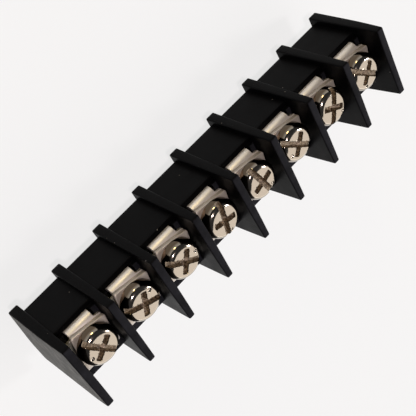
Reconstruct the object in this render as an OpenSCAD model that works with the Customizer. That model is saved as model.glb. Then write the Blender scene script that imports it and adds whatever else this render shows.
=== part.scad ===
// Barrier terminal strip for a circuit board: a moulded housing whose
// barrier plates part a row of screw terminals. Each pole is a bent metal
// terminal with a square clamp washer and a pan head screw on it.
//
// Millimetres. X runs along the strip, the wires come in from -Y, and the
// screws face up +Z. The board's face is Z = 0, the pins stand on Y = 0,
// and X = 0 is the middle of the strip.
// Profiles are drawn as [depth, height]: depth runs forwards (-Y) from the
// rear edges of the barriers, and height runs up from the board.

/* [Strip] */
// Number of poles
poles = 8; // [2:1:12]
// Distance from pole to pole
pitch = 9.5; // [9.2:0.1:12]
// Depth of the pin line behind the front, measured from the rear edges
pin_line = 7.4; // [6.8:0.1:8]

/* [Barriers] */
// Height of the barrier plates
barrier_h = 16.7; // [16.2:0.1:20]
// Length of a barrier's top edge
barrier_top = 14.6; // [13.5:0.05:16]
// Slope of the barriers' front edges, in degrees off the vertical
front_slope = 6.2; // [0:0.1:10]
// Thickness of a barrier at the board
barrier_base_t = 1.95; // [1.6:0.05:2]
// Thickness of a barrier along its top edge
barrier_top_t = 1.5; // [0.9:0.05:1.7]
// Thickness of a barrier at its front tip
barrier_tip_t = 1.05; // [0.8:0.05:1.4]
// Radius of a barrier's front tip
tip_r = 0.3; // [0.2:0.1:1.5]
// Extra thickness at the foot of the two end barriers' outer faces
end_swell = 0.45; // [0:0.05:0.8]

/* [Body] */
// Height of the seats that the terminals rest on
seat_h = 11.3; // [10:0.1:11.8]
// Gap between the body and the board
body_gap = 0.4; // [0.2:0.1:0.8]
// How far the rear wall stands in from the barriers' rear edges
rear_recess = 1.25; // [0.6:0.05:1.6]
// Thickness of the rear wall
rear_wall = 0.95; // [0.8:0.05:1.2]
// How far the rear wall's top lies below the seats
rear_step = 0.8; // [0.4:0.1:1.2]
// Depth of the seats' front edge
ledge_depth = 12.6; // [11.8:0.1:13]
// Chamfer along the body's rear foot
foot_chamfer = 0.6; // [0.2:0.1:1]
// Thickness of the pockets' floor
pocket_floor = 0.8; // [0.6:0.1:1.2]
// Width of the core pockets in the underside
core_w = 6; // [3:0.5:6]
// Wall around the core pockets
core_wall = 1; // [0.8:0.1:1.2]

/* [Terminals] */
// Thickness of the terminals' sheet
sheet = 1; // [0.8:0.1:1.2]
// Width of a terminal's plate
plate_w = 7.4; // [7:0.1:7.6]
// Depth of the plate's shoulders
shoulder_depth = 3.4; // [3.1:0.1:3.6]
// Depth of the plate's front edge
plate_front = 10.3; // [9.8:0.1:11]
// Width of the neck and leg behind the plate
leg_w = 5; // [4:0.1:5.4]
// Outer radius of the bends
bend_r = 1.6; // [1.3:0.1:1.8]
// Width of a pin
pin_w = 1.2; // [0.8:0.1:1.6]
// How far the pins reach below the board's face
pin_length = 4; // [2.5:0.1:5]
// Depth of the collar drawn down around the threaded hole
collar = 1.3; // [0.8:0.1:2]

/* [Screws] */
// Depth of the screws' axes
screw_depth = 6.3; // [6.1:0.1:6.5]
// Diameter of the thread, over its crests
thread_d = 3.4; // [3:0.1:3.6]
// Length of the shank
shank_length = 8; // [6:0.5:8.5]
// Diameter of the head
head_d = 7; // [6.5:0.1:7.2]
// Height of the head
head_h = 2.25; // [2:0.05:2.6]
// Height of the head's straight rim
head_rim = 0.75; // [0.4:0.05:1]
// Width of the driver slot
slot_w = 0.85; // [0.6:0.05:1.1]
// Depth of the driver slot
slot_depth = 1.1; // [0.8:0.1:1.4]
// Length across the cross recess
cross_length = 4.2; // [3.5:0.1:4.6]
// Depth of the cross recess
cross_depth = 1.5; // [1.2:0.1:1.9]
// Side of the square washers
washer_w = 6.8; // [6.4:0.05:6.85]
// Thickness of the washers
washer_t = 0.8; // [0.6:0.1:1]
// Turn of the washers where the tightened screws left them, in degrees
washer_turn = -9.5; // [-9.5:0.5:9.5]

/* [Hidden] */
$fn = 48;

// Running gap around the threads, and between the sheet and its pocket
thread_gap = 0.05;
sheet_gap = 0.05;
// Gap on each side of a leg in its pocket
leg_gap = 0.5;
// Gap around a pin in its slot, and around a shank in its washer
pin_gap = 0.1;
washer_gap = 0.2;
// Wall of the collar, and room in front of it in the pocket
collar_wall = 0.7;
collar_gap = 0.25;
// Taper at a pin's point and at a screw's point
pin_taper = 0.8;
point_taper = 0.5;
// Radii of small corners
edge_r = 0.3;
corner_r = 0.4;
shoulder_r = 1.2;
// Dent that the header leaves in each screw head: radius, depth, place
dent_r = 0.32;
dent_depth = 0.18;
dent_at = 2.35;
// Overlap that joins pieces of one solid
sink = 0.02;

strip_l = poles * pitch;
wall_depth = rear_recess + rear_wall;
leg_depth = wall_depth + sheet_gap;
plate_top = seat_h + sheet;
washer_top = plate_top + washer_t;
floor_top = body_gap + pocket_floor;
thread_r = thread_d / 2;
bore_r = thread_r + thread_gap;
collar_r = bore_r + collar_wall;
pocket_w = leg_w + 2 * leg_gap;
pocket_front = screw_depth + collar_r + collar_gap;
slope_run = tan(front_slope);
barrier_foot = barrier_top + barrier_h * slope_run;
body_foot = ledge_depth + (seat_h - body_gap) * slope_run;

// Turn of each screw's slot, in degrees from +X: tightened where they lie
slot_turns = [-55, -22, -35, -102, -74, -41, -118, -42];
// Place of each screw's dent around its head, in degrees from its slot
dent_turns = [-124, 60, 43, 21, 30, -119, 70, -77];

function pole_x(i) = (i - (poles + 1) / 2) * pitch;
function unit(v) = v / norm(v);
function turn_to(a, b) = (b - a + 540) % 360 - 180;

// Corner b of a polygon, between a and c, as an arc of radius r
function corner(a, b, c, r, steps = 5) =
    r <= 0 ? [b] :
    let (
        u = unit(a - b),
        v = unit(c - b),
        half = acos(u * v) / 2,
        centre = b + unit(u + v) * r / sin(half),
        p = b + u * r / tan(half) - centre,
        q = b + v * r / tan(half) - centre,
        start = atan2(p.y, p.x),
        sweep = turn_to(start, atan2(q.y, q.x))
    )
    [for (k = [0:steps]) centre + r * [
        cos(start + sweep * k / steps),
        sin(start + sweep * k / steps)
    ]];

// Polygon of [x, y, r] corners, each rounded by its own radius
function rounded(corners) =
    let (n = len(corners), at = [for (c = corners) [c.x, c.y]])
    [for (i = [0:n - 1])
        each corner(at[(i + n - 1) % n], at[i], at[(i + 1) % n], corners[i][2])];

function rectangle(x0, y0, x1, y1, r) =
    rounded([[x0, y0, r], [x1, y0, r], [x1, y1, r], [x0, y1, r]]);

// A [depth, height] profile, extruded along X and centred on x
module side_profile(x, width) {
    translate([x + width / 2, pin_line, 0])
        rotate([90, 0, -90])
            linear_extrude(width)
                children();
}

// A block between two depths and two heights, centred on X = 0
module block(width, depths, heights) {
    side_profile(0, width)
        translate([depths[0], heights[0]])
            square([depths[1] - depths[0], heights[1] - heights[0]]);
}

// A quarter of a bent sheet: centre as [depth, height], start in degrees
module bend(width, centre, start, outer, inner) {
    side_profile(0, width)
        polygon(concat(
            [for (k = [0:12]) centre + outer * [cos(start + k * 7.5), sin(start + k * 7.5)]],
            inner > 0 ?
                [for (k = [12:-1:0]) centre + inner * [cos(start + k * 7.5), sin(start + k * 7.5)]] :
                [centre]
        ));
}

// Side view of a barrier
module barrier_outline() {
    polygon(rounded([
        [0, 0, edge_r],
        [barrier_foot, 0, 2 * tip_r],
        [barrier_top, barrier_h, tip_r],
        [0, barrier_h, edge_r],
    ]));
}

// A barrier plate, thinner towards its top and its tip. The swells thicken
// the foot of its left and its right face.
module barrier(left = 0, right = 0) {
    foot = barrier_base_t / 2;
    intersection() {
        side_profile((right - left) / 2, barrier_base_t + left + right)
            barrier_outline();
        translate([0, pin_line, 0])
            rotate([90, 0, 0])
                linear_extrude(barrier_foot)
                    polygon([
                        [-foot - left, 0],
                        [foot + right, 0],
                        [barrier_top_t / 2, barrier_h],
                        [-barrier_top_t / 2, barrier_h],
                    ]);
        linear_extrude(barrier_h)
            translate([0, pin_line])
                polygon([
                    [-foot, 0],
                    [-foot - left, -barrier_foot / 2],
                    [-foot - left, -barrier_foot * 0.75],
                    [-barrier_tip_t / 2, -barrier_foot],
                    [barrier_tip_t / 2, -barrier_foot],
                    [foot + right, -barrier_foot * 0.75],
                    [foot + right, -barrier_foot / 2],
                    [foot, 0],
                ]);
    }
}

// Side view of the body between the barriers
module body_outline() {
    polygon(rounded([
        [rear_recess + foot_chamfer, body_gap, 0],
        [body_foot, body_gap, edge_r],
        [ledge_depth, seat_h, edge_r],
        [wall_depth, seat_h, 0],
        [wall_depth, seat_h - rear_step, 0],
        [rear_recess, seat_h - rear_step, 0.2],
        [rear_recess, body_gap + foot_chamfer, 0],
    ]));
}

// What one pole takes out of the body: the pocket for the terminal, the slot
// for its pin, and the core in the underside
module pole_cuts() {
    block(pocket_w, [wall_depth, pocket_front], [floor_top, seat_h + 1]);
    block(pin_w + 2 * pin_gap,
        [pin_line - sheet / 2 - pin_gap, pin_line + sheet / 2 + pin_gap],
        [body_gap - 1, floor_top + 1]);
    block(core_w, [pocket_front + core_wall, ledge_depth - core_wall],
        [body_gap - 1, seat_h - 2 * core_wall]);
}

module housing() {
    color("#1d1c1f")
        union() {
            difference() {
                side_profile(0, strip_l) body_outline();
                for (i = [1:poles])
                    translate([pole_x(i), 0, 0]) pole_cuts();
            }
            for (i = [0:poles])
                translate([(i - poles / 2) * pitch, 0, 0])
                    barrier(i == 0 ? end_swell : 0, i == poles ? end_swell : 0);
        }
}

// One bent terminal: plate, neck, leg, foot and pin from one strip of sheet
module terminal() {
    bend_inner = bend_r - sheet;
    bend_depth = leg_depth + bend_r;
    pin_rear = pin_line - sheet / 2;
    color("#c9c1b4")
        difference() {
            union() {
                translate([0, pin_line, seat_h])
                    linear_extrude(sheet)
                        polygon(rectangle(-plate_w / 2, -plate_front,
                            plate_w / 2, -shoulder_depth, corner_r));
                translate([0, pin_line - screw_depth, seat_h - collar])
                    cylinder(h = collar + sink, r = collar_r);
                block(leg_w, [bend_depth - sink, shoulder_depth + 2], [seat_h, plate_top]);
                bend(leg_w, [bend_depth, plate_top - bend_r], 90, bend_r, bend_inner);
                block(leg_w, [leg_depth, leg_depth + sheet],
                    [floor_top + bend_r - sink, plate_top - bend_r + sink]);
                bend(leg_w, [bend_depth, floor_top + bend_r], 180, bend_r, bend_inner);
                block(leg_w, [bend_depth - sink, pin_rear], [floor_top, floor_top + sheet]);
                bend(pin_w, [pin_rear - sink, floor_top - sink], 0, sheet + sink, 0);
                translate([0, sheet / 2, 0])
                    rotate([90, 0, 0])
                        linear_extrude(sheet)
                            polygon([
                                [-pin_w / 2, floor_top + sink],
                                [-pin_w / 2, pin_taper - pin_length],
                                [-pin_w / 5, -pin_length],
                                [pin_w / 5, -pin_length],
                                [pin_w / 2, pin_taper - pin_length],
                                [pin_w / 2, floor_top + sink],
                            ]);
            }
            translate([0, pin_line - screw_depth, seat_h - collar - 1])
                cylinder(h = sheet + collar + 2, r = bore_r);
        }
}

// Square clamp washer, turned as the tightened screw left it
module washer() {
    color("#d6cec0")
        translate([0, pin_line - screw_depth, plate_top])
            rotate(washer_turn)
                difference() {
                    linear_extrude(washer_t)
                        polygon(rectangle(-washer_w / 2, -washer_w / 2,
                            washer_w / 2, washer_w / 2, corner_r));
                    translate([0, 0, -1])
                        cylinder(h = washer_t + 2, r = thread_r + washer_gap);
                }
}

// Half section of a screw, as [radius, height above the head's seat]
function screw_section() =
    let (
        head_r = head_d / 2,
        crown = head_h - shoulder_r * 0.05
    )
    concat(
        [[0, -shank_length], [thread_r - point_taper, -shank_length],
            [thread_r, point_taper - shank_length], [thread_r, 0], [head_r - 0.1, 0],
            [head_r, 0.1], [head_r, head_rim]],
        [for (a = [10:10:80]) [
            head_r - shoulder_r * (1 - cos(a)),
            head_rim + (crown - head_rim) * sin(a),
        ]],
        [for (k = [0:4]) let (s = 1 - k / 4) [
            (head_r - shoulder_r) * s,
            head_h - (head_h - crown) * s * s,
        ]]
    );

// Pan head screw with a slot right across and a cross recess. The turns
// place its slot, and the dent beside the slot.
module screw(slot_turn, dent_turn) {
    color("#cfc6b8")
        translate([0, pin_line - screw_depth, washer_top])
            rotate(slot_turn)
                difference() {
                    rotate_extrude() polygon(screw_section());
                    translate([-head_d / 2 - 1, -slot_w / 2, head_h - slot_depth])
                        cube([head_d + 2, slot_w, slot_depth + 1]);
                    for (a = [0, 90])
                        rotate([90, 0, a])
                            translate([0, 0, -slot_w / 2])
                                linear_extrude(slot_w)
                                    polygon([
                                        [-cross_length / 2, head_h + 1],
                                        [-cross_length / 2, head_h - 0.3],
                                        [-0.5, head_h - cross_depth],
                                        [0.5, head_h - cross_depth],
                                        [cross_length / 2, head_h - 0.3],
                                        [cross_length / 2, head_h + 1],
                                    ]);
                    rotate(dent_turn)
                        translate([dent_at, 0, head_h - (head_h - head_rim) * 0.16 - dent_depth])
                            cylinder(h = 1, r = dent_r);
                }
}

housing();
for (i = [1:poles])
    translate([pole_x(i), 0, 0]) {
        terminal();
        washer();
        screw(slot_turns[(i - 1) % 8], dent_turns[(i - 1) % 8]);
    }
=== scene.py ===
"""Barrier terminal strip: dresses the CAD frame with its finished pieces.

Lengths are metres in the frame's axes: X along the strip, Z up along the
screws, -Y towards the wires. Side profiles are drawn as (depth, height):
depth runs forwards from the barriers' rear edges, height up from the board.
"""

from functools import partial

import bmesh
import bpy
import numpy as np
from bpy.props import FloatProperty, FloatVectorProperty, PointerProperty
from bpy.types import Operator, Panel, PropertyGroup
from mathutils import Matrix, Vector


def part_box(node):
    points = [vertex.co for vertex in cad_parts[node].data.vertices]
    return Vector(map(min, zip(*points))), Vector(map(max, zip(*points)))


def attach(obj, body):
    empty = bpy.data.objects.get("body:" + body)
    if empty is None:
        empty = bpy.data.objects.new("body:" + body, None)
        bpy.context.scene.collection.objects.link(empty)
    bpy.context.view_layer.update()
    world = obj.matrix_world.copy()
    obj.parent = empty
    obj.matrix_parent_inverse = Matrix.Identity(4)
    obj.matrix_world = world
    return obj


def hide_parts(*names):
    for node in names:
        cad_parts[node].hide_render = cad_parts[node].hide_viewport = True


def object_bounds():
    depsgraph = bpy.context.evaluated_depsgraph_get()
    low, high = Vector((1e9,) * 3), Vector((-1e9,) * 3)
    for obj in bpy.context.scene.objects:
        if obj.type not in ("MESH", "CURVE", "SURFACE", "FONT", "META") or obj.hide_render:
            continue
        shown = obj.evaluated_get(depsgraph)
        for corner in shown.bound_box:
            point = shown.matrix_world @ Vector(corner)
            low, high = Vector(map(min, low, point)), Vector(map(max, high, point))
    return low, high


bl_info = {
    "name": "Barrier Terminal Strip",
    "version": (1, 0, 0),
    "blender": (4, 5, 0),
    "location": "View3D > Sidebar > Terminal Strip",
    "description": "Builds a circuit-board barrier terminal strip piece by piece",
    "category": "Object",
}

MM = 0.001
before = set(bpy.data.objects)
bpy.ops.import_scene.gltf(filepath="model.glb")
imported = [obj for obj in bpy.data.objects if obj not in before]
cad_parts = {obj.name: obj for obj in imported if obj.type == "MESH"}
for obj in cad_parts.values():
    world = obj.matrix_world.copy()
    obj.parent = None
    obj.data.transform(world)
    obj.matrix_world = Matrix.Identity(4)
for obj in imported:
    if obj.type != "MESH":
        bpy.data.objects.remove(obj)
CAD_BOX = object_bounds()
POLES = sum(name.startswith("screw_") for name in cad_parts)


# ---------------------------------------------------------------- values


def centre_x(node):
    low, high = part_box(node)
    return (low[0] + high[0]) / 2


def linear(code, alpha=1.0):
    """An sRGB hex colour as linear RGBA."""
    part = np.array([int(code[k : k + 2], 16) for k in (1, 3, 5)]) / 255
    part = np.where(part <= 0.04045, part / 12.92, ((part + 0.055) / 1.055) ** 2.4)
    return (*part, alpha)


def length(name, description, millimetres):
    return FloatProperty(
        name=name,
        description=description,
        default=millimetres * MM,
        min=0,
        precision=5,
        unit="LENGTH",
    )


def colour(name, description, code):
    return FloatVectorProperty(
        name=name,
        description=description,
        default=linear(code),
        size=4,
        min=0,
        max=1,
        subtype="COLOR",
    )


HOUSING_LOW, HOUSING_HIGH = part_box("housing")
TERMINAL_LOW, TERMINAL_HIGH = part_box("terminal_1")
WASHER_LOW, WASHER_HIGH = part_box("washer_1")
SCREW_LOW, SCREW_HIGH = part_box("screw_1")
REAR_Y = HOUSING_HIGH[1]
SCREW_Y = (SCREW_LOW[1] + SCREW_HIGH[1]) / 2
POLE_X = [centre_x(f"screw_{i}") for i in range(1, POLES + 1)]
PITCH = POLE_X[1] - POLE_X[0]


class HousingSizes(PropertyGroup):
    """Sizes of the moulded housing"""

    barrier_height: length("Barrier height", "Height of a barrier plate", 16.7)
    barrier_top: length("Barrier top edge", "Length of a barrier's top edge", 14.6)
    front_slope: FloatProperty(
        name="Front slope",
        description="Slope of the barriers' front edges off the vertical",
        default=np.radians(6.2),
        subtype="ANGLE",
    )
    base_thickness: length("Base thickness", "Thickness of a barrier at the board", 1.95)
    top_thickness: length("Top thickness", "Thickness along a barrier's top edge", 1.5)
    tip_thickness: length("Tip thickness", "Thickness at a barrier's front tip", 1.05)
    tip_radius: length("Tip radius", "Radius of a barrier's front tip", 0.3)
    end_swell: length("End swell", "Extra thickness at the foot of the end barriers", 0.45)
    edge_radius: length("Edge radius", "Rounding of the moulded edges", 0.24)
    seat_height: length("Seat height", "Height of the seats under the plates", 11.3)
    body_gap: length("Body gap", "Gap between the body and the board", 0.4)
    rear_recess: length("Rear recess", "Recess of the rear wall", 1.25)
    rear_wall: length("Rear wall", "Thickness of the rear wall", 0.95)
    rear_step: length("Rear step", "Drop from the seats to the rear wall's top", 0.8)
    ledge_depth: length("Ledge depth", "Depth of the seats' front edge", 12.6)
    foot_chamfer: length("Foot chamfer", "Chamfer along the body's rear foot", 0.6)
    pocket_width: length("Pocket width", "Width of a terminal's pocket", 6.0)
    pocket_front: length("Pocket front", "Depth of a pocket's front wall", 9.0)
    pocket_floor: length("Pocket floor", "Thickness of a pocket's floor", 0.8)
    core_width: length("Core width", "Width of the cores in the underside", 6.0)
    core_wall: length("Core wall", "Wall around the cores", 1.0)


class TerminalSizes(PropertyGroup):
    """Sizes of a bent terminal"""

    sheet: length("Sheet", "Thickness of the sheet", 1.0)
    shoulder_depth: length("Shoulder depth", "Depth of the plate's shoulders", 3.4)
    leg_width: length("Leg width", "Width of the neck and leg", 5.0)
    bend_radius: length("Bend radius", "Outer radius of the bends", 1.6)
    pin_width: length("Pin width", "Width of a pin", 1.2)
    collar: length("Collar", "Depth of the drawn collar", 1.3)
    collar_wall: length("Collar wall", "Wall of the drawn collar", 0.7)
    bore_radius: length("Bore radius", "Radius of the threaded hole", 1.75)
    foot_height: length("Foot height", "Height of the foot's middle line", 1.7)
    pin_bend: length("Pin bend", "Radius of the bend from foot to pin", 0.55)
    edge_radius: length("Edge radius", "Rounding of the sheared edges", 0.1)


class ScrewSizes(PropertyGroup):
    """Sizes of a screw and its washer"""

    head_height: length("Head height", "Height of the head", 2.25)
    head_rim: length("Head rim", "Height of the head's straight rim", 0.75)
    shoulder: length("Shoulder radius", "Radius of the head's shoulder", 1.2)
    thread_radius: length("Thread radius", "Radius of the thread's crests", 1.7)
    thread_depth: length("Thread depth", "Depth of the thread", 0.33)
    thread_pitch: length("Thread pitch", "Distance from thread to thread", 0.6)
    slot_width: length("Slot width", "Width of the driver slot", 0.85)
    slot_depth: length("Slot depth", "Depth of the driver slot", 1.1)
    recess_wall: length("Recess wall", "Spread of a recess wall from foot to brim", 0.13)
    burr: length("Burr", "Height of the burrs along the recess", 0.028)
    cross_length: length("Cross length", "Length across the cross recess", 4.2)
    cross_depth: length("Cross depth", "Depth of the cross recess", 1.5)
    dent_radius: length("Dent radius", "Radius of the header's dent", 0.32)
    dent_depth: length("Dent depth", "Depth of the header's dent", 0.18)
    dent_place: length("Dent place", "Distance of the dent from the axis", 2.35)
    washer_width: length("Washer width", "Side of a square washer", 6.8)
    washer_crown: length("Washer crown", "Fall of a washer's top to its corners", 0.035)
    washer_corner: length("Washer corner", "Radius of a washer's corners", 0.4)
    washer_bore: length("Washer bore", "Radius of a washer's bore", 1.9)
    washer_turn: FloatProperty(
        name="Washer turn",
        description="Turn that the tightened screws left the washers with",
        default=np.radians(-9.5),
        subtype="ANGLE",
    )


class Finishes(PropertyGroup):
    """Colours of the finishes"""

    plastic: colour("Plastic", "Black moulded plastic", "#060607")
    # Painted sheen: this grey lightens the upward faces, a highlight painted into the colour
    plastic_sheen: colour("Sheen", "Pale film on the plastic's upward faces", "#303137")
    # Painted reflection with scuffs: this grey lightens the end faces all over, as their reflection would,
    # and in scuffed streaks
    plastic_scuff_and_sheen: colour("Scuffs", "Scuffs on the strip's end faces", "#92928a")
    plastic_dust: colour("Dust", "Specks of dust on the plastic", "#8f8c88")
    nickel: colour("Nickel", "Plated screws", "#bcb2a4")
    washer: colour("Washers", "Tumbled, plated washers", "#ded5ca")
    tin: colour("Tin", "Plated terminals", "#e2ddd6")
    recess: colour("Recess", "Oil-darkened driver recesses", "#b3a084")
    # Painted dark reflection: this brown darkens the heads' and washers' upright sides, standing in for the
    # dark surroundings they mirror
    dark_side_reflection: colour("Straw", "Tarnish on the screws' and washers' sides", "#41321f")
    soot: colour("Soot", "Dark grime in the driver recesses", "#5c4b37")
    floor: colour("Floor", "Studio floor", "#f4f4f3")


class StageSettings(PropertyGroup):
    """Camera and light"""

    azimuth: FloatProperty(
        name="Azimuth", description="Camera azimuth", default=np.radians(205.77), subtype="ANGLE"
    )
    elevation: FloatProperty(
        name="Elevation", description="Camera elevation", default=np.radians(45.91), subtype="ANGLE"
    )
    roll: FloatProperty(
        name="Roll", description="Turn of the camera", default=np.radians(115.16), subtype="ANGLE"
    )
    lens: FloatProperty(name="Lens", description="Focal length in mm", default=79.13, unit="CAMERA")
    distance: length("Distance", "Distance from the aim point", 157.3)
    aim: FloatVectorProperty(
        name="Aim",
        description="Point that the camera looks at",
        default=(-2.87 * MM, -1.13 * MM, 7.4 * MM),
        subtype="TRANSLATION",
        precision=5,
    )
    sky: colour("Sky", "Colour of the dim room around the stage", "#e6eaf2")
    sky_strength: FloatProperty(name="Sky strength", description="Light of the room", default=0.05)
    floor_glow: FloatProperty(
        name="Floor glow", description="Share of white where the floor is seen", default=0.75
    )
    floor_radius: length("Floor radius", "Radius of the flat floor", 1200)
    cove_radius: length("Cove radius", "Radius of the cove between floor and wall", 300)
    wall_height: length("Wall height", "Height of the backdrop wall", 550)
    floor_drop: length("Floor drop", "Depth of the floor under the pins", 0.02)


# ------------------------------------------------------------- surfaces


def smooth(edge0, edge1, value):
    """Smooth step from 0 at edge0 to 1 at edge1."""
    t = np.clip((value - edge0) / (edge1 - edge0), 0, 1)
    return t * t * (3 - 2 * t)


def round_corners(corners, steps=7, spacing=0.6 * MM):
    """Closed outline of [x, y, radius] corners: arcs, joined by evenly stepped lines."""
    at = np.array([c[:2] for c in corners], float)
    pieces = []
    for k, (_, _, radius) in enumerate(corners):
        before = at[k - 1] - at[k]
        after = at[(k + 1) % len(at)] - at[k]
        before /= np.linalg.norm(before)
        after /= np.linalg.norm(after)
        if radius <= 0:
            pieces.append(at[k : k + 1])
            continue
        half = np.arccos(np.clip(before @ after, -1, 1)) / 2
        middle = before + after
        centre = at[k] + middle / np.linalg.norm(middle) * radius / np.sin(half)
        start = at[k] + before * radius / np.tan(half) - centre
        stop = at[k] + after * radius / np.tan(half) - centre
        a0 = np.arctan2(start[1], start[0])
        sweep = np.arctan2(stop[1], stop[0]) - a0
        sweep = (sweep + np.pi) % (2 * np.pi) - np.pi
        angle = a0 + sweep * np.linspace(0, 1, steps)
        pieces.append(centre + radius * np.stack([np.cos(angle), np.sin(angle)], 1))
    outline = []
    for k, piece in enumerate(pieces):
        follow = pieces[(k + 1) % len(pieces)][0]
        count = max(1, int(np.linalg.norm(follow - piece[-1]) / spacing))
        line = piece[-1] + (follow - piece[-1]) * (np.arange(1, count) / count)[:, None]
        outline += [piece, line]
    return np.concatenate(outline)


def outward(outline):
    """Unit normals of a closed outline, from its central differences."""
    step = np.roll(outline, -1, 0) - np.roll(outline, 1, 0)
    area = np.sum(outline[:, 0] * np.roll(outline[:, 1], -1) - np.roll(outline[:, 0], -1) * outline[:, 1])
    normal = np.stack([step[:, 1], -step[:, 0]], 1) * np.sign(area)
    return normal / np.linalg.norm(normal, axis=1)[:, None]


def to_row(depth, x, height):
    """Points of a side profile in the frame's axes."""
    return np.stack([x + 0 * depth, REAR_Y - depth + 0 * x, height + 0 * depth], -1)


def grid_mesh(name, grids, values=None):
    """Mesh of grids of points, each (rows, around, 3) and closed around its rows.

    First and last rows that shrink to a point weld into a pole, and equal first and
    last rows weld into a ring. values gives a number for each point, kept as "recess".
    """
    points, faces, base = [], [], 0
    for grid in grids:
        rows, around = grid.shape[:2]
        index = base + np.arange(rows * around).reshape(rows, around)
        right = np.roll(index, -1, 1)
        faces.append(np.stack([index[:-1], right[:-1], right[1:], index[1:]], -1).reshape(-1, 4))
        points.append(grid.reshape(-1, 3))
        base += rows * around
    points = np.concatenate(points)
    mesh = bpy.data.meshes.new(name)
    mesh.from_pydata(points, [], np.concatenate(faces))
    if values is not None:
        layer = mesh.attributes.new("recess", "FLOAT", "POINT")
        layer.data.foreach_set("value", values.astype(np.float32).ravel())
    tidy(mesh)
    return mesh


def tidy(mesh, merge=0.2e-6):
    """Welds poles and seams, drops what collapsed, and turns the faces outwards."""
    work = bmesh.new()
    work.from_mesh(mesh)
    bmesh.ops.remove_doubles(work, verts=work.verts, dist=merge)
    bmesh.ops.dissolve_degenerate(work, edges=work.edges, dist=merge)
    bmesh.ops.recalc_face_normals(work, faces=work.faces)
    work.to_mesh(mesh)
    work.free()


def add_object(name, mesh):
    piece = bpy.data.objects.new(name, mesh)
    bpy.context.scene.collection.objects.link(piece)
    return piece


def combine(piece, tool_mesh, operation):
    """Cuts or joins a mesh into the piece, and drops the tool."""
    tool = add_object("tool", tool_mesh)
    change = piece.modifiers.new(operation, "BOOLEAN")
    change.operation = operation
    change.solver = "MANIFOLD"
    change.object = tool
    bpy.context.view_layer.update()
    result = bpy.data.meshes.new_from_object(piece.evaluated_get(bpy.context.evaluated_depsgraph_get()))
    if not result.polygons:
        raise RuntimeError(f"{piece.name}: {operation} left no faces")
    piece.modifiers.clear()
    piece.data = result
    bpy.data.objects.remove(tool)


def shade(piece, degrees=32):
    """Smooth shading, apart from edges sharper than the angle."""
    mesh = piece.data
    mesh.polygons.foreach_set("use_smooth", np.ones(len(mesh.polygons), bool))
    mesh.set_sharp_from_angle(angle=np.radians(degrees))


def finish_piece(piece, body, node, material, degrees=32):
    """Gives a finished piece its shading and material, parents it to its body, and hides its CAD node."""
    shade(piece, degrees)
    piece.data.materials.clear()
    piece.data.materials.append(material)
    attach(piece, body)
    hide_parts(node)


# ------------------------------------------------------------ materials


def new_material(name):
    """An empty material, and add_node for its tree."""
    material = bpy.data.materials.new(name)
    material.use_nodes = True
    material.node_tree.nodes.clear()
    return material, partial(add_node, material.node_tree)


def add_node(tree, kind, inputs=None, output=0, **settings):
    """Adds a node with its settings, and returns one of its output sockets, if it has any.
    Inputs are values, or output sockets to link."""
    made = tree.nodes.new(kind)
    for key, value in settings.items():
        setattr(made, key, value)
    for key, value in (inputs or {}).items():
        if isinstance(value, bpy.types.NodeSocket):
            tree.links.new(value, made.inputs[key])
        else:
            made.inputs[key].default_value = value
    return made.outputs[output] if made.outputs else None


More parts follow.
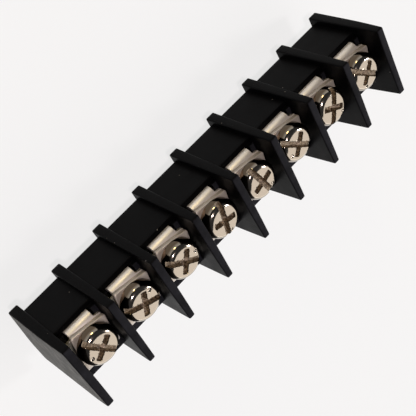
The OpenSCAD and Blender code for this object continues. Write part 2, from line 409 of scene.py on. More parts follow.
def plastic_material(finishes, shade_height, end_face):
    """Black glass-filled nylon, injection moulded: a satin skin that shows soft flow
    mottling, a fine grain from the mould, hairline scuffs and a few specks of dust. Its
    upward faces carry a painted sheen, a highlight painted into the colour, but not below
    the shade height, where they lie in shade. Its end faces, which rub on what lies beside
    the strip, are scuffed grey in streaks over a painted reflection that pales them all over."""
    flow_width, grain_width, scuff_length = 2.6 * MM, 0.11 * MM, 3.2 * MM
    rub_length, dust_spacing = 3.0 * MM, 1.5 * MM
    material, node = new_material("moulded_black_nylon")
    place = node("ShaderNodeTexCoord", output="Object")
    facing = node("ShaderNodeTexCoord", output="Normal")
    x = node("ShaderNodeSeparateXYZ", {"Vector": place}, "X")
    z = node("ShaderNodeSeparateXYZ", {"Vector": place}, "Z")
    upward = node("ShaderNodeSeparateXYZ", {"Vector": facing}, "Z")
    sideways = node("ShaderNodeSeparateXYZ", {"Vector": facing}, "X")

    flow = node(
        "ShaderNodeTexNoise", {"Vector": place, "Scale": 1 / flow_width, "Detail": 4.0}, "Fac"
    )
    grain = node(
        "ShaderNodeTexNoise", {"Vector": place, "Scale": 1 / grain_width, "Detail": 2.0}, "Fac"
    )
    # Hairlines: noise squeezed to a fourteenth across one slanting direction
    slanting = node(
        "ShaderNodeMapping", {"Vector": place, "Rotation": (0.4, 0.9, 0.3), "Scale": (1, 14, 1)}
    )
    scuff = node(
        "ShaderNodeTexNoise", {"Vector": slanting, "Scale": 1 / scuff_length, "Detail": 3.0}, "Fac"
    )
    scuff = node("ShaderNodeMapRange", {"Value": scuff, "From Min": 0.60, "From Max": 0.66})

    # Dust: a round speck in about one cell in five
    cell = node(
        "ShaderNodeTexVoronoi", {"Vector": place, "Scale": 1 / dust_spacing}, "Distance"
    )
    speck = node(
        "ShaderNodeMapRange",
        {"Value": cell, "From Min": 0.03, "From Max": 0.075, "To Min": 1.0, "To Max": 0.0},
    )
    chance = node("ShaderNodeSeparateColor", {"Color": cell.node.outputs["Color"]}, "Red")
    chance = node("ShaderNodeMapRange", {"Value": chance, "From Min": 0.80, "From Max": 0.84})
    dust = node("ShaderNodeMath", {0: speck, 1: chance}, operation="MULTIPLY")

    # Painted sheen: a highlight painted on faces that look up, above the shade height, in the flow's pattern
    sheen = node("ShaderNodeMapRange", {"Value": upward, "From Min": 0.55, "From Max": 0.98})
    sheen = node("ShaderNodeMath", {0: sheen, 1: flow}, operation="MULTIPLY")
    above_shade = node("ShaderNodeMath", {0: z, 1: shade_height}, operation="GREATER_THAN")
    sheen = node("ShaderNodeMath", {0: sheen, 1: above_shade}, operation="MULTIPLY")

    # Scuffed streaks on the two faces that look along the strip from its ends, laid over a painted
    # reflection: the share never falls below a fifth, so the whole end face is painted lighter
    outlying = node("ShaderNodeMath", {0: x}, operation="ABSOLUTE")
    outlying = node("ShaderNodeMath", {0: outlying, 1: end_face}, operation="GREATER_THAN")
    sideways = node("ShaderNodeMath", {0: sideways}, operation="ABSOLUTE")
    sideways = node("ShaderNodeMapRange", {"Value": sideways, "From Min": 0.80, "From Max": 0.97})
    outlying = node("ShaderNodeMath", {0: outlying, 1: sideways}, operation="MULTIPLY")
    along = node(
        "ShaderNodeMapping", {"Vector": place, "Rotation": (-0.75, 0, 0), "Scale": (1, 1, 9)}
    )
    rub = node("ShaderNodeTexNoise", {"Vector": along, "Scale": 1 / rub_length, "Detail": 5.0}, "Fac")
    rub = node(
        "ShaderNodeMapRange",
        {"Value": rub, "From Min": 0.46, "From Max": 0.70, "To Min": 0.20, "To Max": 0.80},
    )
    wear_and_sheen = node("ShaderNodeMath", {0: rub, 1: outlying}, operation="MULTIPLY")

    base = finishes.plastic
    for share, tint in (
        (sheen, finishes.plastic_sheen),
        (wear_and_sheen, finishes.plastic_scuff_and_sheen),
        (dust, finishes.plastic_dust),
    ):
        base = node(
            "ShaderNodeMix", {"Factor": share, "A": base, "B": tint}, "Result", data_type="RGBA"
        )
    rough = node("ShaderNodeMath", {0: flow, 1: 0.22, 2: 0.30}, operation="MULTIPLY_ADD")
    rough = node("ShaderNodeMath", {0: scuff, 1: -0.07, 2: rough}, operation="MULTIPLY_ADD")
    height = node("ShaderNodeMath", {0: grain, 1: 0.35, 2: flow}, operation="MULTIPLY_ADD")
    bump = node("ShaderNodeBump", {"Height": height, "Strength": 0.22, "Distance": 0.05 * MM})
    shader = node(
        "ShaderNodeBsdfPrincipled",
        {"Base Color": base, "Roughness": rough, "Normal": bump, "IOR": 1.5, "Specular IOR Level": 0.035},
    )
    node("ShaderNodeOutputMaterial", {"Surface": shader})
    return material


def plated_material(name, base_colour, finishes, roughness, hairline_stretch, side_darkening, lustre):
    """Bright plating on a cold-formed blank: a mirror-like skin with a faint orange peel,
    drawn hairlines, and dulled, browned metal down in the driver recess. The sides that
    stand upright are painted dark brown, a painted dark reflection of the dim surroundings.
    A lustre under 1 stands in for a matt, tumbled plating, which scatters more light than a
    mirror does."""
    peel_width, hairline_width, grime_width = 0.5 * MM, 1.2 * MM, 0.32 * MM
    material, node = new_material(name)
    place = node("ShaderNodeTexCoord", output="Object")
    facing = node("ShaderNodeTexCoord", output="Normal")
    upward = node("ShaderNodeSeparateXYZ", {"Vector": facing}, "Z")
    inside = node("ShaderNodeAttribute", output="Fac", attribute_name="recess")
    peel = node(
        "ShaderNodeTexNoise", {"Vector": place, "Scale": 1 / peel_width, "Detail": 3.0}, "Fac"
    )
    stretched = node("ShaderNodeMapping", {"Vector": place, "Scale": hairline_stretch})
    hairline = node(
        "ShaderNodeTexNoise", {"Vector": stretched, "Scale": 1 / hairline_width, "Detail": 4.0}, "Fac"
    )
    grime = node(
        "ShaderNodeTexNoise", {"Vector": place, "Scale": 1 / grime_width, "Detail": 2.0}, "Fac"
    )
    grime = node("ShaderNodeMapRange", {"Value": grime, "From Min": 0.40, "From Max": 0.60})
    stain = node("ShaderNodeMath", {0: peel, 1: 1.2, 2: 0.2}, operation="MULTIPLY_ADD")
    stain = node("ShaderNodeMath", {0: inside, 1: stain}, operation="MULTIPLY")
    # Painted dark reflection: upright sides darken towards the side colour by the given share, standing in
    # for the dark surroundings they mirror
    upright = node(
        "ShaderNodeMapRange",
        {"Value": upward, "From Min": 0.25, "From Max": 0.75, "To Min": side_darkening, "To Max": 0.0},
    )

    driven = node(
        "ShaderNodeMix",
        {"Factor": grime, "A": finishes.soot, "B": finishes.recess},
        "Result",
        data_type="RGBA",
    )
    base = base_colour
    for share, tint in ((upright, finishes.dark_side_reflection), (stain, driven)):
        base = node(
            "ShaderNodeMix", {"Factor": share, "A": base, "B": tint}, "Result", data_type="RGBA"
        )
    rough = node("ShaderNodeMath", {0: peel, 1: 0.06, 2: roughness - 0.03}, operation="MULTIPLY_ADD")
    rough = node("ShaderNodeMath", {0: inside, 1: 0.4, 2: rough}, operation="MULTIPLY_ADD")
    metal = node(
        "ShaderNodeMath", {0: stain, 1: -0.6, 2: lustre}, operation="MULTIPLY_ADD", use_clamp=True
    )
    height = node("ShaderNodeMath", {0: hairline, 1: 0.5, 2: peel}, operation="MULTIPLY_ADD")
    bump = node("ShaderNodeBump", {"Height": height, "Strength": 0.18, "Distance": 0.03 * MM})
    shader = node(
        "ShaderNodeBsdfPrincipled",
        {"Base Color": base, "Roughness": rough, "Normal": bump, "Metallic": metal},
    )
    node("ShaderNodeOutputMaterial", {"Surface": shader})
    return material


def floor_material(finishes, glow):
    """Matt painted studio floor. Where the camera, gloss or glass looks at it, a share of
    white is mixed in, which pales it without lighting the strip and keeps its shadow."""
    material, node = new_material("painted_floor")
    paint = node("ShaderNodeBsdfPrincipled", {"Base Color": finishes.floor, "Roughness": 0.9})
    white = node("ShaderNodeEmission", {"Color": (1, 1, 1, 1), "Strength": 1.0})
    seen = node("ShaderNodeLightPath", output="Is Camera Ray")
    rays = seen.node.outputs
    for ray in ("Is Glossy Ray", "Is Transmission Ray"):
        seen = node("ShaderNodeMath", {0: seen, 1: rays[ray]}, operation="ADD")
    share = node("ShaderNodeMath", {0: seen, 1: glow}, operation="MULTIPLY", use_clamp=True)
    mixed = node("ShaderNodeMixShader", {"Fac": share, 1: paint, 2: white})
    node("ShaderNodeOutputMaterial", {"Surface": mixed})
    return material


# -------------------------------------------------------------- housing


def barrier_grid(sizes, x, swell_left, swell_right):
    """A barrier plate: from the middle of its left face out to the rim, a quarter round
    over each edge, and back to the middle of its right face. Half the thickness at a
    point is the least of a draft upwards and a draft forwards."""
    top, height = sizes.barrier_top, sizes.barrier_height
    foot = top + height * np.tan(sizes.front_slope)
    edge = sizes.edge_radius
    outline = round_corners(
        [
            (0, 0, 1.3 * edge),
            (foot, 0, 2 * sizes.tip_radius),
            (top, height, sizes.tip_radius),
            (0, height, 1.3 * edge),
        ]
    )
    normal = outward(outline)
    spread = 1 - (1 - np.linspace(0, 1, 16)) ** 1.6
    turn = np.radians(np.linspace(0, 90, 6))[1:]
    reach = np.concatenate([spread, np.ones(len(turn))])
    inset = np.concatenate([np.full(len(spread), edge), edge * (1 - np.sin(turn))])
    drop = np.concatenate([np.zeros(len(spread)), edge * (1 - np.cos(turn))])
    middle = outline.mean(0)
    flat = middle + (outline - normal * inset[:, None, None] - middle) * reach[:, None, None]
    depth, rise = flat[..., 0], flat[..., 1]

    def half(swell):
        base, tip = sizes.base_thickness / 2, sizes.tip_thickness / 2
        upwards = np.interp(rise, [0, height], [base + swell, sizes.top_thickness / 2])
        forwards = np.interp(
            depth, [0, foot / 2, foot * 0.75, foot], [base, base + swell, base + swell, tip]
        )
        if swell == 0:
            forwards = np.interp(depth, [0, foot], [base, tip])
        blend = 0.04 * MM
        return -blend * np.logaddexp(-upwards / blend, -forwards / blend)

    left = to_row(depth, x - half(swell_left) + drop[:, None], rise)
    right = to_row(depth, x + half(swell_right) - drop[:, None], rise)
    return np.concatenate([left, right[::-1]])


def body_grid(sizes, x_low, x_high):
    """The body: its rounded side profile carried along the strip, closed at both ends."""
    slope = np.tan(sizes.front_slope)
    foot = sizes.ledge_depth + (sizes.seat_height - sizes.body_gap) * slope
    inner = sizes.rear_recess + sizes.rear_wall
    outline = round_corners(
        [
            (sizes.rear_recess + sizes.foot_chamfer, sizes.body_gap, 0.12 * MM),
            (foot, sizes.body_gap, sizes.edge_radius),
            (sizes.ledge_depth, sizes.seat_height, sizes.edge_radius),
            (inner, sizes.seat_height, 0.1 * MM),
            (inner, sizes.seat_height - sizes.rear_step, 0.08 * MM),
            (sizes.rear_recess, sizes.seat_height - sizes.rear_step, 0.18 * MM),
            (sizes.rear_recess, sizes.body_gap + sizes.foot_chamfer, 0.12 * MM),
        ]
    )
    middle = outline.mean(0)
    x = np.concatenate([[x_low], np.linspace(x_low, x_high, 160), [x_high]])
    reach = np.ones(len(x))
    reach[[0, -1]] = 0
    flat = middle + (outline - middle) * reach[:, None, None]
    return to_row(flat[..., 0], x[:, None], flat[..., 1])


def block_grid(x, width, depths, heights, radius):
    """A cutter: a plan outline with round corners, carried straight up."""
    plan = round_corners(
        [
            (-width / 2, depths[0], radius),
            (width / 2, depths[0], radius),
            (width / 2, depths[1], radius),
            (-width / 2, depths[1], radius),
        ],
        steps=5,
    )
    height = np.array([heights[0], heights[0], heights[1], heights[1]])
    reach = np.array([0, 1, 1, 0])
    middle = plan.mean(0)
    flat = middle + (plan - middle) * reach[:, None, None]
    return to_row(flat[..., 1], x + flat[..., 0], height[:, None])


class STRIP_OT_housing(Operator):
    """Build the moulded housing: the body with its pockets, and the barrier plates"""

    bl_idname = "strip.housing"
    bl_label = "Housing"

    def execute(self, context):
        sizes, terminal = context.scene.strip_housing, context.scene.strip_terminal
        barrier_x = [POLE_X[0] - PITCH / 2 + k * PITCH for k in range(POLES + 1)]
        barriers = [
            barrier_grid(sizes, x, sizes.end_swell * (k == 0), sizes.end_swell * (k == POLES))
            for k, x in enumerate(barrier_x)
        ]
        floor = sizes.body_gap + sizes.pocket_floor
        inner = sizes.rear_recess + sizes.rear_wall
        pin_gap, beyond = 0.1 * MM, 1 * MM
        pin_depth = REAR_Y
        half_slot = terminal.sheet / 2 + pin_gap
        pockets = []
        for x in POLE_X:
            pockets += [
                block_grid(
                    x,
                    sizes.pocket_width,
                    (inner, sizes.pocket_front),
                    (floor, sizes.seat_height + beyond),
                    0.2 * MM,
                ),
                block_grid(
                    x,
                    terminal.pin_width + 2 * pin_gap,
                    (pin_depth - half_slot, pin_depth + half_slot),
                    (sizes.body_gap - beyond, floor + 0.05 * MM),
                    0.1 * MM,
                ),
                block_grid(
                    x,
                    sizes.core_width,
                    (sizes.pocket_front + sizes.core_wall, sizes.ledge_depth - sizes.core_wall),
                    (sizes.body_gap - beyond, sizes.seat_height - 2 * sizes.core_wall),
                    0.3 * MM,
                ),
            ]
        piece = add_object(
            "housing_moulding", grid_mesh("housing_moulding", [body_grid(sizes, barrier_x[0], barrier_x[-1])])
        )
        for k in range(3):
            combine(piece, grid_mesh("pockets", pockets[k::3]), "DIFFERENCE")
        combine(piece, grid_mesh("barriers", barriers), "UNION")
        # Below the seats' height less 0.3 mm the plastic lies in shade and gets no painted sheen
        plastic = plastic_material(
            context.scene.strip_finishes, sizes.seat_height - 0.3 * MM, barrier_x[-1] + 0.5 * MM
        )
        finish_piece(piece, "strip", "housing", plastic)
        return {"FINISHED"}


# ------------------------------------------------------------ terminals


def terminal_path(sizes, terminal_low, terminal_high):
    """The sheet's middle line as (depth, height) points with unit tangents, from the
    plate's front edge back over the neck, down the leg, along the foot and down the pin."""
    half = sizes.sheet / 2
    top = terminal_high[2] - half
    front = REAR_Y - terminal_low[1]
    rear = REAR_Y - terminal_high[1] + half
    radius = sizes.bend_radius - half
    foot = HOUSING_LOW[2] + sizes.foot_height
    pin_radius = sizes.pin_bend
    pin_depth = REAR_Y

    def line(start, stop, count):
        return np.linspace(start, stop, count, endpoint=False)

    def arc(centre, bend, start, stop, count=14):
        angle = np.radians(np.linspace(start, stop, count, endpoint=False))
        return np.array(centre) + bend * np.stack([np.cos(angle), np.sin(angle)], 1)

    path = np.concatenate(
        [
            line((front, top), (rear + radius, top), 90),
            arc((rear + radius, top - radius), radius, 90, 180),
            line((rear, top - radius), (rear, foot + radius), 24),
            arc((rear + radius, foot + radius), radius, 180, 270),
            line((rear + radius, foot), (pin_depth - pin_radius, foot), 30),
            arc((pin_depth - pin_radius, foot - pin_radius), pin_radius, 90, 0, 10),
            line((pin_depth, foot - pin_radius), (pin_depth, terminal_low[2]), 30),
            [(pin_depth, terminal_low[2])],
        ]
    )
    tangent = np.gradient(path, axis=0)
    return path, tangent / np.linalg.norm(tangent, axis=1)[:, None]


def terminal_grid(sizes, x, low, high):
    """A strip of sheet: a rounded rectangle, carried along the bent middle line, whose
    width follows the plate, its shoulders, the leg and the tapered pin."""
    path, tangent = terminal_path(sizes, low, high)
    travel = np.concatenate([[0], np.cumsum(np.linalg.norm(np.diff(path, axis=0), axis=1))])
    plate = (high[0] - low[0]) / 2
    leg, pin = sizes.leg_width / 2, sizes.pin_width / 2
    shoulder = REAR_Y - low[1] - sizes.shoulder_depth
    corner, edge = 0.4 * MM, sizes.edge_radius
    foot_stop = travel[-1] - (sizes.foot_height - path[-1][1]) - 0.4 * MM
    width = plate + (leg - plate) * smooth(shoulder - 0.12 * MM, shoulder + 0.12 * MM, travel)
    width = width + (pin - leg) * smooth(foot_stop - 0.25 * MM, foot_stop, travel)
    into = np.clip(corner - travel, 0, corner)
    width = width - (corner - np.sqrt(corner**2 - into**2))
    left = travel[-1] - travel
    taper = 1 - smooth(0.9 * MM, 0, left)
    width = width * (0.42 + 0.58 * taper)
    thick = sizes.sheet / 2 * (0.62 + 0.38 * taper)
    ends = np.minimum(travel, left)
    shrink = edge - np.sqrt(np.maximum(edge**2 - np.clip(edge - ends, 0, edge) ** 2, 0))
    width, thick = width - shrink, thick - shrink
    angle = np.radians(np.linspace(0, 90, 5))
    section = np.concatenate(
        [
            np.stack([np.full(5, sx), np.full(5, sy), np.cos(angle + quarter), np.sin(angle + quarter)], 1)
            for quarter, (sx, sy) in zip(
                np.radians([0, 90, 180, 270]), [(1, 1), (-1, 1), (-1, -1), (1, -1)]
            )
        ]
    )
    across = section[:, 0] * (width[:, None] - edge) + edge * section[:, 2]
    off = section[:, 1] * (thick[:, None] - edge) + edge * section[:, 3]
    normal = np.stack([tangent[:, 1], -tangent[:, 0]], 1)
    flat = path[:, None] + normal[:, None] * off[..., None]
    rows = to_row(flat[..., 0], x + across, flat[..., 1])
    middle = to_row(path[:, 0], x, path[:, 1])[:, None]
    first = np.broadcast_to(middle[:1], rows[:1].shape)
    last = np.broadcast_to(middle[-1:], rows[-1:].shape)
    return np.concatenate([first, rows, last])


def turned_grid(profile, x, y, around=64):
    """A profile of (radius, height) points turned about a vertical axis."""
    angle = np.linspace(0, 2 * np.pi, around, endpoint=False)
    radius, height = profile[:, :1], profile[:, 1:]
    return np.stack(
        [x + radius * np.cos(angle), y + radius * np.sin(angle), height + 0 * angle], -1
    )


class STRIP_OT_terminals(Operator):
    """Build the bent and plated terminals with their drawn, threaded collars"""

    bl_idname = "strip.terminals"
    bl_label = "Terminals"

    def execute(self, context):
        sizes, finishes = context.scene.strip_terminal, context.scene.strip_finishes
        material = plated_material(
            "tinned_brass", finishes.tin, finishes, 0.42, (6, 0.5, 0.5), 0.0, 0.6
        )
        top = TERMINAL_HIGH[2]
        under = top - sizes.sheet
        rim = 0.15 * MM
        outer = sizes.bore_radius + sizes.collar_wall
        for i, x in enumerate(POLE_X, 1):
            low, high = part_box(f"terminal_{i}")
            name = f"bent_terminal_{i}"
            piece = add_object(name, grid_mesh(name, [terminal_grid(sizes, x, low, high)]))
            collar = np.array(
                [
                    (0, under + 0.5 * sizes.sheet),
                    (outer + rim, under + 0.5 * sizes.sheet),
                    (outer + rim, under),
                    (outer, under - rim),
                    (outer, under - sizes.collar + rim),
                    (outer - rim, under - sizes.collar),
                    (0, under - sizes.collar),
                ]
            )
            combine(piece, grid_mesh("collar", [turned_grid(collar, x, SCREW_Y)]), "UNION")
            bore = sizes.bore_radius
            hole = np.array(
                [
                    (0, under - sizes.collar - MM),
                    (bore, under - sizes.collar - MM),
                    (bore, top - 0.12 * MM),
                    (bore + 0.24 * MM, top + 0.12 * MM),
                    (0, top + 0.12 * MM),
                ]
            )
            combine(piece, grid_mesh("hole", [turned_grid(hole, x, SCREW_Y)]), "DIFFERENCE")
            finish_piece(piece, "strip", f"terminal_{i}", material)
        return {"FINISHED"}


# --------------------------------------------------- washers and screws


def washer_grid(sizes, x, low, high):
    """A washer: rings between its bore and its square outline, round the top face, the
    edge, the under face and the bore. The top is crowned by a few hundredths."""
    half = sizes.washer_width / 2
    corner = sizes.washer_corner
    square = round_corners(
        [(half, -half, corner), (half, half, corner), (-half, half, corner), (-half, -half, corner)],
        steps=7,
        spacing=0.25 * MM,
    )
    turn = sizes.washer_turn
    spin = np.array([[np.cos(turn), np.sin(turn)], [-np.sin(turn), np.cos(turn)]])
    square = square @ spin
    ring = square / np.linalg.norm(square, axis=1)[:, None] * sizes.washer_bore
    top, under = high[2], low[2]
    roll, burr = 0.16 * MM, 0.06 * MM
    angle = np.radians([0, 18, 36, 54, 72, 90])
    share = np.linspace(0.04, 1, 14)
    reach = np.concatenate([share, np.ones(10), share[::-1], [0.0, 0.0, 0.0]])
    inset = np.concatenate(
        [
            np.full(len(share), roll),
            roll * (1 - np.sin(angle[1:])),
            burr * (1 - np.cos(angle[1:])),
            np.full(len(share), burr),
            [0, 0, 0],
        ]
    )
    height = np.concatenate(
        [
            np.full(len(share), top),
            top - roll * (1 - np.cos(angle[1:])),
            under + burr * (1 - np.sin(angle[1:])),
            np.full(len(share), under),
            [under + burr, (under + top) / 2, top - burr],
        ]
    )
    normal = outward(square)
    edge = square - normal * inset[:, None, None]
    flat = ring + (edge - ring) * reach[:, None, None]
    far = np.linalg.norm(flat, axis=-1)
    upper = (height > (top + under) / 2)[:, None]
    rise = height[:, None] - sizes.washer_crown * (1 - smooth(half * 1.25, half * 0.85, far)) * upper
    grid = np.stack([x + flat[..., 0], SCREW_Y + flat[..., 1], rise], -1)
    return np.concatenate([grid, grid[:1]])


def ripple(place, seed):
    """A smooth, uneven wave of about one unit's length between -1 and 1."""
    return np.sin(place * 2.1 + seed * 5.3) * np.sin(place * 5.7 + seed * 2.9 + 1)


# Columns of an eighth turn: to a recess wall's foot, to its brim, and to the next arm
FOOT_COLUMN, BRIM_COLUMN, LAST_COLUMN = 7, 10, 24


def arm_columns(sizes, radius, seed):
    """Angles of a ring of columns that follow the walls of the recess's four arms, with
    each column's distance past the wall's foot. Each eighth of a turn is split where the
    wall of half the slot's width (give or take its unevenness) starts and ends."""
    share = np.arange(-LAST_COLUMN, LAST_COLUMN)
    angles, beyond = [], []
    for arm in range(4):
        uneven = np.where(
            share < 0,
            ripple(radius / (0.45 * MM), seed + arm),
            ripple(radius / (0.45 * MM), seed + arm + 0.5),
        )
        half = sizes.slot_width / 2 * (1 + 0.10 * uneven)
        eighth = np.radians(45)
        safe = np.maximum(radius, 1e-9)
        foot = np.arcsin(np.minimum(half / safe, np.sin(eighth)))
        brim = np.arcsin(np.minimum((half + sizes.recess_wall) / safe, np.sin(eighth)))
        count = np.abs(share)
        local = np.where(
            count <= FOOT_COLUMN,
            foot * count / FOOT_COLUMN,
            np.where(
                count <= BRIM_COLUMN,
                foot + (brim - foot) * (count - FOOT_COLUMN) / (BRIM_COLUMN - FOOT_COLUMN),
                brim + (eighth - brim) * (count - BRIM_COLUMN) / (LAST_COLUMN - BRIM_COLUMN),
            ),
        )
        angles.append(np.radians(90) * arm + np.sign(share) * local)
        beyond.append(radius * np.sin(local) - half)
    return np.concatenate(angles, 1), np.concatenate(beyond, 1)


def recess_depth(sizes, radius, beyond):
    """Depth of the driver recess: a slot right across and two tapered arms, all with
    sloping walls, and full depth where the arms meet."""
    reach = sizes.cross_length / 2
    taper = np.interp(
        radius,
        [0.5 * MM, reach, reach + 0.14 * MM],
        [sizes.cross_depth, 0.6 * MM, 0],
    )
    slot = np.maximum(sizes.slot_depth, taper)
    eighth = 2 * LAST_COLUMN
    arms = np.concatenate([np.repeat(d, eighth, 1) for d in (slot, taper, slot, taper)], 1)
    wall = np.clip(1 - beyond / sizes.recess_wall, 0, 1)
    return arms * np.where(beyond <= 0, 1, wall)


def screw_grid(sizes, x, low, high, slot_turn, dent_turn, seed):
    """A screw: rings from the middle of its crown over the shoulder, down the rim, in
    under the head and down the threaded shank. Over the head the height is the crown
    less the driver recess, its burrs and a dent. The thread is a round vee on a helix."""
    head = (high[0] - low[0]) / 2
    seat = WASHER_HIGH[2]
    shank = seat - low[2]
    crown = sizes.head_height - 0.05 * sizes.shoulder
    flat_r = head - sizes.shoulder
    inner = np.linspace(0, 1, 54)
    curve = np.radians(np.linspace(90, 0, 22))[1:]
    crown_rows = np.stack(
        [flat_r * inner, sizes.head_height - (sizes.head_height - crown) * inner**2], 1
    )
    shoulder_rows = np.stack(
        [
            head - sizes.shoulder * (1 - np.cos(curve)),
            sizes.head_rim + (crown - sizes.head_rim) * np.sin(curve),
        ],
        1,
    )
    rim = 0.12 * MM
    lower = np.radians(np.linspace(0, 90, 5))
    rim_rows = np.stack([head - rim * (1 - np.cos(lower)), rim * (1 - np.sin(lower))], 1)
    neck = np.array([[head * 0.75, 0], [sizes.thread_radius + 0.05 * MM, 0]])
    count = int(shank / sizes.thread_pitch * 8)
    fall = np.linspace(-0.05 * MM, 0.5 * MM - shank, count)
    thread_rows = np.stack([np.full(count, sizes.thread_radius), fall], 1)
    point = np.array([[sizes.thread_radius - 0.45 * MM, -shank], [0, -shank]])
    rows = np.concatenate([crown_rows, shoulder_rows, rim_rows, neck, thread_rows, point])
    angle, beyond = arm_columns(sizes, rows[:, :1], seed)
    radius = rows[:, :1] + 0 * angle
    height = rows[:, 1:] + 0 * angle
    on_shank = (height <= -0.05 * MM) & (height > -shank)
    phase = (height / sizes.thread_pitch - angle / (2 * np.pi)) % 1
    vee = 0.5 - 0.5 * np.cos(2 * np.pi * phase)
    fade = smooth(-0.2 * MM, -0.9 * MM, height) * smooth(-shank + 0.2 * MM, -shank + 0.9 * MM, height)
    radius = np.where(on_shank, radius - sizes.thread_depth * (vee * fade + (1 - fade) * 0.5), radius)
    along, across = radius * np.cos(angle), radius * np.sin(angle)
    on_head = height > 0.3 * MM
    floor = sizes.head_height - recess_depth(sizes, rows[:, :1], beyond)
    scored = ripple(along / (0.3 * MM), seed) * ripple(across / (0.3 * MM), seed + 0.3)
    floor = floor + 0.05 * MM * scored * (beyond < 0)
    deep = np.where(on_head, np.maximum(height - floor, 0), 0)
    from_brim = (beyond - sizes.recess_wall) / (0.09 * MM)
    burr = sizes.burr * np.exp(-(from_brim**2)) * smooth(0.1, 0.7, ripple(radius / (0.5 * MM), seed))
    burr = burr * (recess_depth(sizes, rows[:, :1], beyond * 0) > 0) * (rows[:, :1] < flat_r)
    dent_x = sizes.dent_place * np.cos(dent_turn)
    dent_y = sizes.dent_place * np.sin(dent_turn)
    near = np.hypot(along - dent_x, across - dent_y) / sizes.dent_radius
    dent = sizes.dent_depth * smooth(1.15, 0.55, near) * on_head
    height = height - deep - dent + burr * on_head
    recess = smooth(0.05 * MM, 0.35 * MM, deep)
    cos, sin = np.cos(slot_turn), np.sin(slot_turn)
    grid = np.stack(
        [x + along * cos - across * sin, SCREW_Y + along * sin + across * cos, seat + height], -1
    )
    return grid, recess


# Turn of each screw's slot from +X, and of its dent from its slot, in degrees
SLOT_TURNS = (-55, -22, -35, -102, -74, -41, -118, -42)
DENT_TURNS = (-124, 60, 43, 21, 30, -119, 70, -77)


class STRIP_OT_clamps(Operator):
    """Build the square clamp washers and the pan head screws on them"""

    bl_idname = "strip.clamps"
    bl_label = "Washers and screws"

    def execute(self, context):
        sizes, finishes = context.scene.strip_screw, context.scene.strip_finishes
        # Washers and screws get 0.4 and 0.9 of painted dark reflection on their upright sides
        washer_finish = plated_material(
            "nickelled_washer", finishes.washer, finishes, 0.40, (1, 1, 1), 0.4, 0.55
        )
        screw_finish = plated_material(
            "nickelled_screw", finishes.nickel, finishes, 0.12, (1, 1, 1), 0.9, 1.0
        )
        for i, x in enumerate(POLE_X, 1):
            low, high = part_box(f"washer_{i}")
            name = f"clamp_washer_{i}"
            washer = add_object(name, grid_mesh(name, [washer_grid(sizes, x, low, high)]))
            finish_piece(washer, f"clamp_{i}", f"washer_{i}", washer_finish)
            low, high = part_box(f"screw_{i}")
            name = f"pan_screw_{i}"
            grid, recess = screw_grid(
                sizes,
                x,
                low,
                high,
                np.radians(SLOT_TURNS[i - 1]),
                np.radians(DENT_TURNS[i - 1]),
                i,
            )
            screw = add_object(name, grid_mesh(name, [grid], recess))
            finish_piece(screw, f"driver_{i}", f"screw_{i}", screw_finish, 40)
        return {"FINISHED"}


# ---------------------------------------------------------------- stage


LAMP_AIM = (0, 0, 8 * MM)
# Name, place and size in metres, watts and tint. The wide panel is what the flat heads
# mirror; the small ones put the highlights on the heads' shoulders and the rolled necks.
LAMPS = (
    ("front_panel", (0.16, -0.52, 0.42), (1.1, 0.62), 2.5, "#fff8f2"),
    ("side_key", (0.42, -0.12, 0.46), (0.10, 0.10), 1.0, "#fbf7f7"),
    ("rear_lamp", (-0.14, 0.22, 0.43), (0.05, 0.05), 0.9, "#fff0f2"),
    ("rear_kicker", (0.06, 0.50, 0.15), (0.09, 0.09), 0.4, "#ffe6a4"),
)


def area_lamp(name, place, size, power, tint):
    """A soft rectangular lamp at a place, turned to the strip."""
    lamp = bpy.data.lights.new(name, "AREA")
    lamp.shape = "RECTANGLE"
    lamp.size, lamp.size_y = size
    lamp.energy = power
    lamp.color = linear(tint)[:3]
    made = bpy.data.objects.new(name, lamp)
    made.location = place
    made.rotation_euler = (Vector(LAMP_AIM) - Vector(place)).to_track_quat("-Z", "Y").to_euler()
    bpy.context.scene.collection.objects.link(made)


def floor_profile(stage):
    """The floor's (radius, height) profile: flat, then a quarter-round cove, then a wall."""
    cove, flat = stage.cove_radius, stage.floor_radius
    angle = np.radians(np.linspace(-90, 0, 17))
    curve = np.stack([flat + cove * np.cos(angle), cove * (1 + np.sin(angle))], 1)
    return np.concatenate([[(0, 0)], curve, [(flat + cove, stage.wall_height)]])


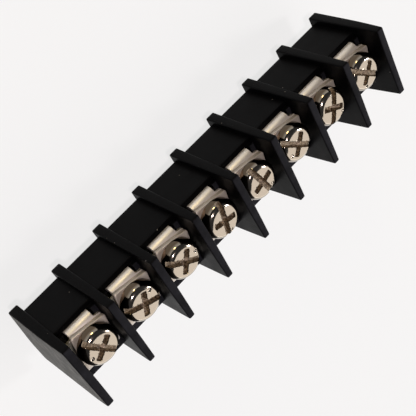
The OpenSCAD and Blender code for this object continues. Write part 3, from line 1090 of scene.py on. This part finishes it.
class STRIP_OT_stage(Operator):
    """Build the pale floor, the soft lamps, the world and the camera"""

    bl_idname = "strip.stage"
    bl_label = "Stage"

    def execute(self, context):
        stage, finishes = context.scene.strip_stage, context.scene.strip_finishes
        scene = context.scene
        floor_z = CAD_BOX[0][2] - stage.floor_drop
        sweep = floor_profile(stage) + [0, floor_z]
        floor = add_object("studio_floor", grid_mesh("studio_floor", [turned_grid(sweep, 0, 0)]))
        shade(floor)
        if floor.data.polygons[0].normal.z < 0:
            floor.data.flip_normals()
        floor.data.materials.append(floor_material(finishes, stage.floor_glow))

        world = bpy.data.worlds.new("studio")
        world.use_nodes = True
        world.node_tree.nodes.clear()
        node = partial(add_node, world.node_tree)
        sky = node("ShaderNodeBackground", {"Color": stage.sky, "Strength": stage.sky_strength})
        node("ShaderNodeOutputWorld", {"Surface": sky})
        scene.world = world

        for lamp in LAMPS:
            area_lamp(*lamp)

        camera = bpy.data.cameras.new("camera")
        camera.lens = stage.lens
        camera.sensor_width = 36
        camera.clip_start, camera.clip_end = 0.005, 10
        view = bpy.data.objects.new("camera", camera)
        azimuth, elevation = stage.azimuth, stage.elevation
        back = Vector(
            (
                np.sin(azimuth) * np.cos(elevation),
                -np.cos(azimuth) * np.cos(elevation),
                np.sin(elevation),
            )
        )
        view.rotation_mode = "QUATERNION"
        level = (-back).to_track_quat("-Z", "Y").to_matrix()
        turned = level @ Matrix.Rotation(stage.roll, 3, "Z")
        view.rotation_quaternion = turned.to_quaternion()
        view.location = Vector(stage.aim) + back * stage.distance
        scene.collection.objects.link(view)
        scene.camera = view
        scene.view_settings.view_transform = "Standard"
        return {"FINISHED"}


# ----------------------------------------------------------------- panel


class STRIP_PT_panel(Panel):
    """Lists the strip's settings and builders"""

    bl_idname = "STRIP_PT_panel"
    bl_label = "Terminal Strip"
    bl_space_type = "VIEW_3D"
    bl_region_type = "UI"
    bl_category = "Terminal Strip"

    def draw(self, context):
        for group in GROUPS:
            settings = getattr(context.scene, group)
            box = self.layout.box()
            box.label(text=group.replace("strip_", "").title())
            for key in settings.__annotations__:
                box.prop(settings, key)
        for operator in OPERATORS:
            self.layout.operator(operator.bl_idname)


OPERATORS = (STRIP_OT_housing, STRIP_OT_terminals, STRIP_OT_clamps, STRIP_OT_stage)
GROUPS = {
    "strip_housing": HousingSizes,
    "strip_terminal": TerminalSizes,
    "strip_screw": ScrewSizes,
    "strip_finishes": Finishes,
    "strip_stage": StageSettings,
}


def register():
    for cls in (*GROUPS.values(), *OPERATORS, STRIP_PT_panel):
        bpy.utils.register_class(cls)
    for name, cls in GROUPS.items():
        setattr(bpy.types.Scene, name, PointerProperty(type=cls))


def unregister():
    for name in GROUPS:
        delattr(bpy.types.Scene, name)
    for cls in (STRIP_PT_panel, *reversed(OPERATORS), *GROUPS.values()):
        bpy.utils.unregister_class(cls)


def main():
    register()
    bpy.ops.strip.housing()
    bpy.ops.strip.terminals()
    bpy.ops.strip.clamps()
    bpy.ops.strip.stage()


if __name__ == "__main__":
    main()
